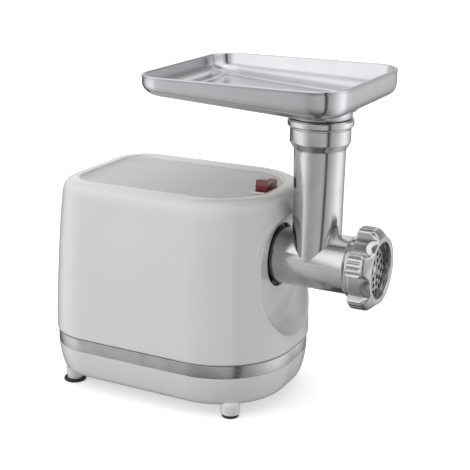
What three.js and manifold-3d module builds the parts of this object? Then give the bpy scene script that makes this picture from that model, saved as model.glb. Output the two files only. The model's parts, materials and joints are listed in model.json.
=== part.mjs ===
// Electric meat grinder: moulded housing with motor and three-stage gearbox,
// cast mincing head on a bayonet socket, feed screw, knife, cutting plate,
// lobed ring nut and a loose feed tray.
// Millimetres, +Z up, +X towards the outlet, origin under the middle of the
// whole object at the level of the feet.
import * as THREE from 'three';
import { mergeVertices } from 'three/addons/utils/BufferGeometryUtils.js';
import Module from 'manifold-3d';

const wasm = await Module();
wasm.setup();

// ---------------------------------------------------------------- dimensions
const SHIFT_X = -38.6;        // housing centre to object centre
const GAP = 0.3;              // running and assembly gap between pieces

// housing outline at the trim band
const HX0 = -115, HX1 = 115, HY = 84.4, HR_FRONT = 72, HR_REAR = 47;
const WALL = 2.6;
const Z_PAN_BOTTOM = 11.7, Z_PAN_TOP = 40.6, Z_BAND_TOP = 52.8, Z_TOP = 202.5;

// mincing head
const ZB = 140.5;             // barrel axis height
const X_DISH = 98.5;          // floor of the front recess
const R_BARREL = 25.8, R_BORE = 22.4, R_SOCKET_HOLE = 29.6;
const XN = 133.2;             // neck axis
const R_PLATE = 26.9;

// motor and gears
const ZM = 92.7;              // motor axis height, y = 0
const GA = [24, 78.3];        // first idler axis (y, z)
const GB = [30, 112.19];      // second idler axis (y, z)
const N1 = 10, N2 = 46, M1 = 1.0;
const N3 = 11, N4 = 44, M2 = 1.25;
const N5 = 11, N6 = 44, M3 = 1.5;

const SCREWS = [[-88, 57], [-88, -57], [90, 44], [90, -44]];   // base screws

// switch
const SX = 82, SZ = 199.5, ROCK_TILT = -9;

// ------------------------------------------------------------------- helpers
// facets round a turned surface
const facets = (n) => Math.max(8, 2 * Math.round(n * 0.25));
const V2 = (x, y) => new THREE.Vector2(x, y);
const DEG = Math.PI / 180;

function clean(geometry) {
  const g = geometry.clone();
  for (const k of Object.keys(g.attributes)) if (k !== 'position') g.deleteAttribute(k);
  g.clearGroups();
  const m = mergeVertices(g, 1e-4);
  const p = m.attributes.position, id = m.index, keep = [];
  for (let i = 0; i < id.count; i += 3) {
    const a = id.getX(i), b = id.getX(i + 1), c = id.getX(i + 2);
    if (a !== b && b !== c && a !== c) keep.push(a, b, c);
  }
  let vol = 0;
  const A = new THREE.Vector3(), B = new THREE.Vector3(), C = new THREE.Vector3();
  for (let i = 0; i < keep.length; i += 3) {
    A.fromBufferAttribute(p, keep[i]); B.fromBufferAttribute(p, keep[i + 1]); C.fromBufferAttribute(p, keep[i + 2]);
    vol += A.dot(B.cross(C));
  }
  if (vol < 0) for (let i = 0; i < keep.length; i += 3) { const t = keep[i]; keep[i] = keep[i + 1]; keep[i + 1] = t; }
  const out = new THREE.BufferGeometry();
  out.setAttribute('position', p.clone());
  out.setIndex(keep);
  return out;
}
function solid(geometry) {
  const g = clean(geometry);
  return new wasm.Manifold(new wasm.Mesh({
    numProp: 3,
    vertProperties: new Float32Array(g.attributes.position.array),
    triVerts: new Uint32Array(g.index.array),
  }));
}
function toGeometry(m) {
  const s = m.getMesh();
  const g = new THREE.BufferGeometry();
  const v = new Float32Array(s.vertProperties.length / s.numProp * 3);
  for (let i = 0, j = 0; i < s.vertProperties.length; i += s.numProp) {
    v[j++] = s.vertProperties[i]; v[j++] = s.vertProperties[i + 1]; v[j++] = s.vertProperties[i + 2];
  }
  g.setAttribute('position', new THREE.BufferAttribute(v, 3));
  g.setIndex(Array.from(s.triVerts));
  return g;
}
const add = (...l) => l.reduce((a, b) => a.add(b));
const sub = (a, ...l) => l.reduce((x, y) => x.subtract(y), a);

// box from its limits
function box(x0, x1, y0, y1, z0, z1) {
  const g = new THREE.BoxGeometry(x1 - x0, y1 - y0, z1 - z0);
  g.translate((x0 + x1) / 2, (y0 + y1) / 2, (z0 + z1) / 2);
  return solid(g);
}
// turned solid about the X axis through (y, z); profile of [x, r]
function turnX(profile, y, z, seg = 32, phase = 0) {
  const g = new THREE.LatheGeometry(profile.map(([x, r]) => V2(r, x)), facets(seg), phase);
  g.rotateZ(-Math.PI / 2);
  g.translate(0, y, z);
  return solid(g);
}
// turned solid about the Z axis through (x, y); profile of [z, r]
function turnZ(profile, x, y, seg = 32) {
  const g = new THREE.LatheGeometry(profile.map(([z, r]) => V2(r, z)), facets(seg));
  g.rotateX(Math.PI / 2);
  g.translate(x, y, 0);
  return solid(g);
}
const rodX = (r, x0, x1, y, z, seg = 24) => turnX([[x0, 0], [x0, r], [x1, r], [x1, 0]], y, z, seg);
const rodZ = (r, z0, z1, x, y, seg = 24) => turnZ([[z0, 0], [z0, r], [z1, r], [z1, 0]], x, y, seg);
const ringX = (ri, ro, x0, x1, y, z, seg = 32) =>
  turnX([[x0, ri], [x0, ro], [x1, ro], [x1, ri], [x0, ri]], y, z, seg);
const YZX = new THREE.Matrix4().makeBasis(
  new THREE.Vector3(0, 1, 0), new THREE.Vector3(0, 0, 1), new THREE.Vector3(1, 0, 0));
// outline in (y, z) pushed along X
function prismX(points, x0, x1, steps = 1) {
  const g = new THREE.ExtrudeGeometry(new THREE.Shape(points.map(([a, b]) => V2(a, b))),
    { depth: x1 - x0, steps, bevelEnabled: false });
  g.applyMatrix4(YZX);
  g.translate(x0, 0, 0);
  return solid(g);
}
function prismZ(points, z0, z1) {
  const g = new THREE.ExtrudeGeometry(new THREE.Shape(points.map(([a, b]) => V2(a, b))),
    { depth: z1 - z0, bevelEnabled: false });
  g.translate(0, 0, z0);
  return solid(g);
}
// rounded rectangle in plan, different radii at the front and the rear
function roundRect(x0, x1, hy, rf, rb, nf, nb) {
  const out = [];
  const arc = (cx, cy, r, a0, n) => {
    for (let i = 0; i <= n; i++) {
      const a = (a0 + 90 * i / n) * DEG;
      out.push({ x: cx + r * Math.cos(a), y: cy + r * Math.sin(a), nx: Math.cos(a), ny: Math.sin(a) });
    }
  };
  arc(x1 - rf, hy - rf, rf, 0, nf);
  arc(x0 + rb, hy - rb, rb, 90, nb);
  arc(x0 + rb, -(hy - rb), rb, 180, nb);
  arc(x1 - rf, -(hy - rf), rf, 270, nf);
  return out;
}
// stack of the same outline drawn in by an inset at each level [z, inset];
// heightAt(point, z, inset) may tilt a level
function stack(outline, levels, heightAt, insetAt) {
  const shape = new THREE.Shape(outline.map((o) => V2(o.x, o.y)));
  const n = levels.length - 1;
  const g = new THREE.ExtrudeGeometry(shape, { depth: n, steps: n, bevelEnabled: false });
  const p = g.attributes.position;
  for (let i = 0; i < p.count; i++) {
    const x = p.getX(i), y = p.getY(i), k = Math.round(p.getZ(i));
    let best = 0, bd = 1e9;
    for (let j = 0; j < outline.length; j++) {
      const d = (outline[j].x - x) ** 2 + (outline[j].y - y) ** 2;
      if (d < bd) { bd = d; best = j; }
    }
    const o = outline[best], z = levels[k][0], inset = insetAt ? insetAt(o, levels[k][1]) : levels[k][1];
    const nx = o.x - o.nx * inset, ny = o.y - o.ny * inset;
    p.setXYZ(i, nx, ny, heightAt ? heightAt(nx, ny, z, inset) : z);
  }
  return solid(g);
}
// spur gear outline in (y, z): trapezoid teeth, one tooth centred on angle a0
function gearOutline(n, m, y, z, a0) {
  const ra = m * (n / 2 + 0.78), rr = m * (n / 2 - 1.15), pitch = 2 * Math.PI / n, out = [];
  for (let i = 0; i < n; i++) {
    const a = a0 + i * pitch;
    for (const [r, f] of (n > 20 ? [[rr, -0.33], [ra, 0], [rr, 0.33]] : [[rr, -0.27], [ra, -0.09], [ra, 0.09], [rr, 0.27]])) {
      out.push([y + r * Math.cos(a + f * pitch), z + r * Math.sin(a + f * pitch)]);
    }
  }
  return out;
}
const sector = (y, z, r0, r1, a0, a1, n) => {
  const o = [];
  for (let i = 0; i <= n; i++) { const a = (a0 + (a1 - a0) * i / n) * DEG; o.push([y + r1 * Math.cos(a), z + r1 * Math.sin(a)]); }
  for (let i = n; i >= 0; i--) { const a = (a0 + (a1 - a0) * i / n) * DEG; o.push([y + r0 * Math.cos(a), z + r0 * Math.sin(a)]); }
  return o;
};

const root = new THREE.Group();
const unit = new THREE.Group();
unit.position.x = SHIFT_X;
root.add(unit);

const MAT = {
  white: [0xdcdcd6, 0.28, 0], steel: [0xb4b5b6, 0.35, 1], cast: [0xc6c8ca, 0.3, 1],
  polish: [0xd2d4d6, 0.16, 1], rubber: [0x1c1c1c, 0.8, 0], black: [0x232323, 0.5, 0],
  red: [0x6a1218, 0.25, 0], bezel: [0xe4dcda, 0.35, 0], copper: [0xa9603a, 0.4, 0.8],
  lam: [0x77797b, 0.5, 0.9], brass: [0xb8943f, 0.35, 1], nylon: [0xe9e4d2, 0.5, 0],
  zinc: [0x9a9c9e, 0.45, 0.9], carbon: [0x2b2b2d, 0.6, 0.1], nylonb: [0x2e2f31, 0.45, 0],
};
function put(name, m, mat, parent = unit) {
  const geometry = m.isBufferGeometry ? m : toGeometry(m);
  const [color, roughness, metalness] = MAT[mat];
  const mesh = new THREE.Mesh(geometry, new THREE.MeshStandardMaterial({ color, roughness, metalness }));
  mesh.name = name;
  parent.add(mesh);
  return mesh;
}

// ------------------------------------------------------------------- housing
const plan = roundRect(HX0, HX1, HY, HR_FRONT, HR_REAR, 7, 5);
const skin = [[Z_BAND_TOP + GAP, 0.2], [55, -1.3], [80, -0.8], [112, 1.0], [150, 3.6],
  [180, 6.5], [191, 8.0], [197, 10.4], [201, 14.5], [Z_TOP, 19.5]];
const cavity = [[Z_BAND_TOP - 2, 0.2 + WALL], [55, -1.3 + WALL], [112, 1.0 + WALL], [150, 3.6 + WALL],
  [185, 7.0 + WALL], [197.2, 17 + WALL]];
const dishProfile = [[X_DISH, 0], [X_DISH, 0.80], [X_DISH + 0.8, 0.875], [X_DISH + 3, 0.94], [X_DISH + 8, 1.0], [X_DISH + 22, 1.05], [X_DISH + 22, 0]];
function dishSolid(grow) {
  const prof = dishProfile.map(([x, r], i) => [i < 2 ? x - grow : x - grow * 0.4, r ? r * 50 + grow : 0]);
  const g = new THREE.LatheGeometry(prof.map(([x, r]) => V2(r, x)), 24);
  g.rotateZ(-Math.PI / 2);
  // squarer above the centre, rounder below it
  const p = g.attributes.position;
  for (let i = 0; i < p.count; i++) {
    const y = p.getY(i), z = p.getZ(i), r = Math.hypot(y, z);
    if (r < 1e-6) { p.setZ(i, 125); continue; }
    const c = y / r, s = z / r, n = s > 0 ? 2.8 : 2.2;
    const k = (Math.abs(c) ** n + Math.abs(s) ** n) ** (-1 / n) * r / 50;
    p.setXYZ(i, p.getX(i), 51.4 * k * c, 125 + 55 * k * s);
  }
  return solid(g);
}
{
  const outer = stack(plan, skin);
  let shell = outer.subtract(stack(plan, cavity));
  shell = shell.add(dishSolid(WALL).intersect(outer));
  for (const [x, y] of SCREWS) {
    const s = Math.sign(y), high = x < 0 ? 198.5 : 66;
    const web = x < 0 ? rodZ(5.2, 43.2, high, x, y, 12)
      : rodZ(5.2, 43.2, high, x, y, 12).add(box(x - 1, x + 1, Math.min(y, y + 20 * s), Math.max(y, y + 20 * s), 54.5, high - 0.5)).add(box(x, x + 25, y - 1, y + 1, 54.5, high - 0.5));
    shell = shell.add(web.intersect(outer.add(box(-100, 110, -60, 60, 40, 54))));
    shell = shell.subtract(rodZ(2.2, 42, 64, x, y, 12));
  }
  shell = shell.subtract(dishSolid(0));
  // shallow recess in the top
  const lid = roundRect(HX0 + 27, HX1 - 22.4, HY - 24, 48, 24, 4, 3);
  shell = shell.subtract(stack(lid, [[199.0, 2.2], [199.6, 1.6], [203, 0]]));
  // socket hole, switch cut-out, release button hole, cord gland hole
  shell = shell.subtract(rodX(R_SOCKET_HOLE, 90, 105, 0, ZB, 40));
  shell = shell.subtract(box(SX - 7.2, SX + 7.2, -14.2, 14.2, 190, 210));
  shell = shell.subtract(rodX(5.8, 90, 105, 38, 139, 20));
  shell = shell.subtract(rodX(6.9, -122, -105, 26, 68, 16));
  // air slots in the rear wall
  for (let i = 0; i < 5; i++) shell = shell.subtract(box(-122, -105, -26, 26, 92 + i * 7, 95 + i * 7));
  put('housing_shell', shell, 'white');
}
{
  const panPlan = plan;
  const body = stack(panPlan, [[Z_PAN_BOTTOM, 10.0], [13, 6.8], [18, 4.4], [28, 1.7], [Z_PAN_TOP, 0]]);
  let pan = body.subtract(stack(panPlan, [[Z_PAN_BOTTOM + WALL, 12.0], [19, 6.8], [28, 4.3], [Z_PAN_TOP + 1, 3.4]]));
  // lip behind the trim band
  const lip = stack(panPlan, [[Z_PAN_TOP - 3, 1.4], [Z_BAND_TOP - 0.3, 1.4]])
    .subtract(stack(panPlan, [[Z_PAN_TOP - 4, 3.4], [Z_BAND_TOP, 3.4]]));
  pan = pan.add(lip.subtract(box(-200, 200, -200, 200, 0, Z_PAN_TOP - 3)));
  // feet posts, front ones run up the side of the pan
  for (const s of [1, -1]) {
    pan = pan.add(turnZ([[3.4, 0], [3.4, 8.9], [13, 8.9], [20, 8.0], [20, 0]], 79.5, 62 * s, 24)
      .intersect(stack(panPlan, [[0, 1.2], [24, 1.2]])));
    pan = pan.add(turnZ([[2.6, 0], [2.6, 7.6], [13, 8.6], [13, 0]], -91, 62 * s, 24));
  }
  // screw posts and chassis posts
  for (const [x, y] of SCREWS) {
    pan = pan.add(rodZ(6.2, 12.5, 42.9, x, y, 16).intersect(body.add(box(-100, 110, -60, 60, 39, 44))));
    pan = pan.subtract(rodZ(4.4, 10, 34, x, y, 16)).subtract(rodZ(2.4, 30, 44, x, y, 12));
  }
  for (const [x, y] of [[-80, 35], [-80, -35], [30, 40], [30, -40]]) pan = pan.add(rodZ(5, 12.5, 43.6, x, y, 12));
  // air slots under the motor
  for (let i = 0; i < 5; i++) pan = pan.subtract(box(-58 + i * 12, -54 + i * 12, -28, 28, 8, 18));
  put('base_pan', pan, 'white');
}
put('trim_band', stack(plan, [[Z_PAN_TOP + GAP, 0], [Z_BAND_TOP, 0]])
  .subtract(stack(plan, [[Z_PAN_TOP - 1, 1.1], [Z_BAND_TOP + 1, 1.1]])), 'steel');
for (const [s, side] of [[1, 'left'], [-1, 'right']]) {
  put(`foot_pad_front_${side}`, turnZ([[0, 0], [0, 7.3], [0.6, 7.8], [3.1, 7.8], [3.1, 0]], 79.5, 62 * s, 24), 'rubber');
  put(`foot_pad_rear_${side}`, turnZ([[0, 0], [0, 10.2], [0.6, 10.8], [1.8, 10.8], [2.3, 10.3], [2.3, 0]], -91, 62 * s, 24), 'rubber');
}
SCREWS.forEach(([x, y], i) => {
  put(`base_screw_${i + 1}`, turnZ([[31, 0], [31, 3.2], [31.6, 3.8], [33.7, 3.8], [33.7, 2.0], [60, 2.0], [61.5, 0.8], [61.5, 0]], x, y, 16), 'zinc');
});
// cord gland in the rear wall: flanged sleeve with a groove that grips the wall
put('cord_gland', turnX([[-118.2, 3.6], [-118.2, 8.4], [-116.9, 9.2], [-116.3, 9.2], [-116.3, 6.0], [-112.3, 6.0], [-112.3, 8.0],
  [-109.5, 8.0], [-109.5, 3.6], [-118.2, 3.6]], 26, 68, 24), 'rubber');

// -------------------------------------------------------------------- switch
{
  const frame = stack(roundRect(SX - 8.1, SX + 8.1, 15.2, 2.4, 2.4, 2, 2), [[199.1, 0], [199.9, 0], [200.4, 0.5]])
    .subtract(box(SX - 5.9, SX + 5.9, -13.1, 13.1, 198, 206));
  const skirt = box(SX - 6.9, SX + 6.9, -13.9, 13.9, 196, 199.7).subtract(box(SX - 5.9, SX + 5.9, -13.1, 13.1, 195, 206));
  put('switch_bezel', frame.add(skirt), 'bezel');
  put('switch_body', add(box(SX - 6.9, SX + 6.9, -13.9, 13.9, 182, 188), box(SX - 6.9, SX - 5.9, -13.9, 13.9, 187, 195.7),
    box(SX + 5.9, SX + 6.9, -13.9, 13.9, 187, 195.7), box(SX + 4, SX + 6, -9, -8, 174, 183), box(SX + 4, SX + 6, 8, 9, 174, 183),
    box(SX + 4, SX + 6, -0.5, 0.5, 174, 183)), 'black');
  // rocker: two facets that meet over its pivot, turned about X
  const top = [[-12, 9.3], [-1.6, 10.95], [0, 11.1], [1.6, 10.95], [12, 9.3]];
  const prof = [[-12, 9.3], [-12.2, 4], [-11, -2], [-5, -7.5], [5, -7.5], [11, -2], [12.2, 4], ...top.reverse()];
  const outline = prof.slice(0, -1);
  const g = new THREE.ExtrudeGeometry(new THREE.Shape(outline.map(([a, b]) => V2(a, b))),
    { depth: 8.8, bevelEnabled: true, bevelThickness: 1.0, bevelSize: 0.9, bevelOffset: -0.9, bevelSegments: 2, curveSegments: 4 });
  g.applyMatrix4(YZX);
  g.translate(-4.4, 0, 0);
  const rocker = new THREE.Mesh(clean(g), new THREE.MeshStandardMaterial({ color: MAT.red[0], roughness: MAT.red[1], metalness: 0 }));
  rocker.name = 'switch_rocker';
  rocker.position.set(SX, 0, SZ);
  rocker.rotation.x = ROCK_TILT * DEG;
  unit.add(rocker);
}

// -------------------------------------------- release button beside the socket
put('release_button', turnX([[87, 0], [87, 2.0], [91.5, 2.0], [91.5, 6.6], [93.5, 6.6], [93.5, 5.4], [101, 5.4], [102, 4.6], [102.4, 0]], 38, 139, 20), 'nylonb');
{
  const pts = [];
  const turns = 4, per = 8;
  for (let i = 0; i <= turns * per; i++) {
    const a = 2 * Math.PI * i / per;
    pts.push(new THREE.Vector3(84.2 + 6.7 * i / (turns * per), 38 + 3.6 * Math.cos(a), 139 + 3.6 * Math.sin(a)));
  }
  const path = new THREE.CatmullRomCurve3(pts);
  const wire = new THREE.Shape();
  wire.absarc(0, 0, 0.4, 0, 2 * Math.PI, false);
  put('release_spring', clean(new THREE.ExtrudeGeometry(wire, { steps: turns * per, extrudePath: path, bevelEnabled: false, curveSegments: 2 })), 'steel');
}

// ------------------------------------------------------- chassis and gearbox
{
  let plate = box(-92, 84, -48, 48, 44, 46);
  plate = plate.subtract(box(-60, 10, -30, 30, 40, 50));
  put('chassis_plate', plate, 'zinc');
}
put('motor_mount_rear', box(-43, -33, -34, 34, 46.3, 50.3), 'rubber');
put('motor_mount_front', box(-8, 2, -34, 34, 46.3, 50.3), 'rubber');

const hullOf = (grow) => {
  const pts = [];
  for (const [y, z, r] of [[0, ZB, 38], [GB[0], GB[1], 32.5], [GA[0], GA[1], 28], [0, ZM, 14]]) {
    for (let i = 0; i < 16; i++) pts.push([y + (r + grow) * Math.cos(i * 22.5 * DEG), z + (r + grow) * Math.sin(i * 22.5 * DEG)]);
  }
  pts.sort((a, b) => a[0] - b[0] || a[1] - b[1]);
  const cross = (o, a, b) => (a[0] - o[0]) * (b[1] - o[1]) - (a[1] - o[1]) * (b[0] - o[0]);
  const half = (list) => { const h = []; for (const p of list) { while (h.length > 1 && cross(h[h.length - 2], h[h.length - 1], p) <= 1e-6) h.pop(); h.push(p); } h.pop(); return h; };
  return [...half(pts), ...half(pts.slice().reverse())];
};
const EARS = [[-42.5, 150], [36, 165.5], [48, 84], [-18, 77]].map(([y, z]) =>
  hullOf(1.6).reduce((a, b) => ((b[0] - y) ** 2 + (b[1] - z) ** 2 < (a[0] - y) ** 2 + (a[1] - z) ** 2 ? b : a)));
{
  let kase = prismX(hullOf(0), 38, 79.7).subtract(prismX(hullOf(-2.6), 41, 90));
  for (const [y, z] of EARS) kase = kase.add(rodX(4.6, 60, 79.7, y, z, 14)).subtract(rodX(1.9, 64, 90, y, z, 10));
  kase = kase.add(box(44, 72, -2, 46, 46.3, 53.5));
  kase = kase.subtract(prismX(hullOf(-2.6), 41, 90));
  kase = sub(kase, rodX(5.2, 30, 42, 0, ZM, 20), rodX(4.3, 30, 42, ...GA, 16), rodX(4.3, 30, 42, ...GB, 16), rodX(7.7, 30, 42, 0, ZB, 20));
  put('gearbox_case', kase, 'zinc');
  let cover = prismX(hullOf(0), 80, 83);
  for (const [y, z] of EARS) cover = cover.add(rodX(4.6, 80, 83, y, z, 14));
  for (const [y, z] of EARS) cover = cover.subtract(rodX(2.2, 78, 90, y, z, 10));
  cover = sub(cover, rodX(4.3, 78, 90, ...GA, 16), rodX(4.3, 78, 90, ...GB, 16), rodX(10.3, 78, 90, 0, ZB, 24));
  put('gearbox_cover', cover, 'zinc');
  EARS.forEach(([y, z], i) => put(`gearbox_screw_${i + 1}`,
    turnX([[65, 0], [65, 1.6], [83.3, 1.6], [83.3, 3.4], [85.2, 3.0], [85.6, 0]], y, z, 12), 'zinc'));
}
put('output_bush', ringX(7.3, 10, 80.2, 84.4, 0, ZB, 24), 'brass');

// bayonet socket for the head: sleeve with an inner groove and two entry slots
{
  let collar = ringX(R_BARREL + 0.4, 31, 83.4, 95.6, 0, ZB, 48);
  collar = collar.subtract(ringX(24, 29.0, 86.2, 91.4, 0, ZB, 48));
  for (const s of [0, 180]) collar = collar.subtract(prismX(sector(0, ZB, 24, 29, 30 + s, 60 + s, 4), 90, 97));
  put('socket_collar', collar, 'nylonb');
}

// --------------------------------------------------------------------- gears
const dir = (p, q) => Math.atan2(q[1] - p[1], q[0] - p[0]);
const PM = [0, ZM], PO = [0, ZB];
function gearPhase(n, a) { return a + Math.PI / n; }          // gap centred on angle a
{
  const a1 = dir(PM, GA), a2 = dir(GA, GB), a3 = dir(GB, PO);
  // motor shaft with the cut pinion on its nose
  put('motor_shaft', turnX([[-88, 0], [-88, 3.6], [-87.4, 4], [38, 4], [38, 3.4], [42, 3.4], [42, 0]], 0, ZM, 20)
    .add(prismX(gearOutline(N1, M1, 0, ZM, a1), 41.8, 53)), 'steel');
  put('stage_1_gear', sub(prismX(gearOutline(N2, M1, ...GA, gearPhase(N2, a1 + Math.PI)), 43.5, 51.5), rodX(4.3, 40, 60, ...GA, 16)), 'nylon');
  put('idler_shaft_1', rodX(3.9, 38.6, 82.4, ...GA, 16).add(prismX(gearOutline(N3, M2, ...GA, a2), 52.5, 64)), 'steel');
  put('stage_2_gear', sub(prismX(gearOutline(N4, M2, ...GB, gearPhase(N4, a2 + Math.PI)), 54, 63), rodX(4.3, 50, 70, ...GB, 16)), 'steel');
  put('idler_shaft_2', rodX(3.9, 38.6, 82.4, ...GB, 16).add(prismX(gearOutline(N5, M3, ...GB, a3), 65, 78)), 'steel');
  put('output_gear', sub(prismX(gearOutline(N6, M3, ...PO, gearPhase(N6, a3 + Math.PI)), 66, 77), rodX(7.7, 60, 80, ...PO, 20)), 'steel');
  put('output_shaft', turnX([[38.6, 0], [38.6, 7], [85, 7], [85, 11.5], [97, 11.5], [98, 10.8], [98, 0]], ...PO, 24)
    .subtract(box(88, 99, -5.5, 5.5, ZB - 5.5, ZB + 5.5)), 'steel');
}

// --------------------------------------------------------------------- motor
{
  const sq = roundRect(-42, 42, 42, 14, 14, 4, 4).map((o) => [o.x, o.y + ZM]);
  let st = prismX(sq, -45, 5).subtract(rodX(24.6, -50, 10, 0, ZM, 36));
  for (const s of [0, 180]) st = st.subtract(prismX(sector(0, ZM, 20, 34.8, -40 + s, 40 + s, 5), -50, 10));
  put('stator_core', st, 'lam');
  const coil = (a) => prismX(sector(0, ZM, 26, 34.4, a + 4, a + 172, 10), -54, 14)
    .subtract(prismX(sector(0, ZM, 20, 40, a + 38, a + 142, 6), -45.4, 5.4));
  put('field_coil_upper', coil(2), 'copper');
  put('field_coil_lower', coil(182), 'copper');
  // laminated rotor with eight slots
  const rot = [];
  for (let i = 0; i < 8; i++) {
    const a = i * 45;
    for (const [r, d] of [[23.7, -18.5], [23.7, 0], [23.7, 18.5], [16.5, 18.5], [16.5, 26.5]]) rot.push([r * Math.cos((a + d) * DEG), ZM + r * Math.sin((a + d) * DEG)]);
  }
  put('armature_core', prismX(rot, -45, 5).subtract(rodX(4.3, -50, 10, 0, ZM, 20)), 'lam');
  let wind = add(turnX([[-53, 7], [-53, 17], [-51, 20.5], [-45.3, 21.5], [-45.3, 7], [-53, 7]], 0, ZM, 24),
    turnX([[5.3, 7], [5.3, 21.5], [10, 20.5], [12, 17], [12, 7], [5.3, 7]], 0, ZM, 24));
  for (let i = 0; i < 8; i++) {
    const a = i * 45 + 22.5;
    wind = wind.add(prismX([[17.3, -0.55], [21, -0.55], [21, 0.55], [17.3, 0.55]].map(([u, v]) => [u * Math.cos(a * DEG) - v * Math.sin(a * DEG), ZM + u * Math.sin(a * DEG) + v * Math.cos(a * DEG)]), -46, 6));
  }
  put('armature_winding', wind, 'copper');
  put('commutator', turnX([[-70, 4.3], [-70, 11.5], [-57, 11.5], [-57, 13.5], [-54.5, 13.5], [-54.5, 4.3], [-70, 4.3]], 0, ZM, 24), 'copper');
  let fan = turnX([[16.5, 4.3], [16.5, 35], [18, 35], [20, 10], [29, 9], [29, 4.3], [16.5, 4.3]], 0, ZM, 30);
  for (let i = 0; i < 7; i++) {
    const a = i * 360 / 7, b = [[9, -0.8], [34, -3.4], [34, -1.8], [9, 0.8]];
    fan = fan.add(prismX(b.map(([u, v]) => [u * Math.cos(a * DEG) - v * Math.sin(a * DEG), ZM + u * Math.sin(a * DEG) + v * Math.cos(a * DEG)]), 17.5, 28));
  }
  put('cooling_fan', fan, 'nylonb');
  put('bearing_rear', ringX(4.3, 9.5, -86.5, -80.5, 0, ZM, 24), 'steel');
  put('bearing_front', ringX(4.3, 9.5, 31, 37, 0, ZM, 24), 'steel');
  // end bells
  let rear = turnX([[-87.5, 5.5], [-87.5, 38], [-85, 40.6], [-45.3, 40.6], [-45.3, 37.6], [-84, 37.6], [-84, 12], [-80.2, 12], [-80.2, 9.8], [-86.8, 9.8], [-86.8, 5.5], [-87.5, 5.5]], 0, ZM, 32);
  for (const s of [1, -1]) rear = rear.subtract(box(-68, -57, Math.min(30 * s, 46 * s), Math.max(30 * s, 46 * s), ZM - 5.5, ZM + 5.5));
  for (const a of [50, 130, 230, 310]) rear = rear.subtract(prismX(sector(0, ZM, 17, 33, a - 17, a + 17, 2), -92, -82));
  put('motor_bell_rear', rear, 'nylonb');
  let front = turnX([[5.3, 37.6], [5.3, 40.6], [35.5, 40.6], [37.6, 38.5], [37.6, 5.5], [37.2, 5.5], [37.2, 9.8], [30.8, 9.8], [30.8, 12], [34.8, 12], [34.8, 37.6], [5.3, 37.6]], 0, ZM, 32);
  for (const a of [45, 135, 225, 315]) front = front.subtract(prismX(sector(0, ZM, 36, 44, a - 15, a + 15, 2), 14, 32));
  put('motor_bell_front', front, 'zinc');
  for (const [s, side] of [[1, 'left'], [-1, 'right']]) {
    const by = (a, b) => [Math.min(a * s, b * s), Math.max(a * s, b * s)];
    put(`brush_holder_${side}`, box(-67.6, -57.4, ...by(13.5, 43), ZM - 5.1, ZM + 5.1)
      .subtract(box(-66, -59, ...by(10, 40), ZM - 3.6, ZM + 3.6)), 'brass');
    put(`carbon_brush_${side}`, box(-65.7, -59.3, ...by(11.9, 30), ZM - 3.3, ZM + 3.3), 'carbon');
  }
}

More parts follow.
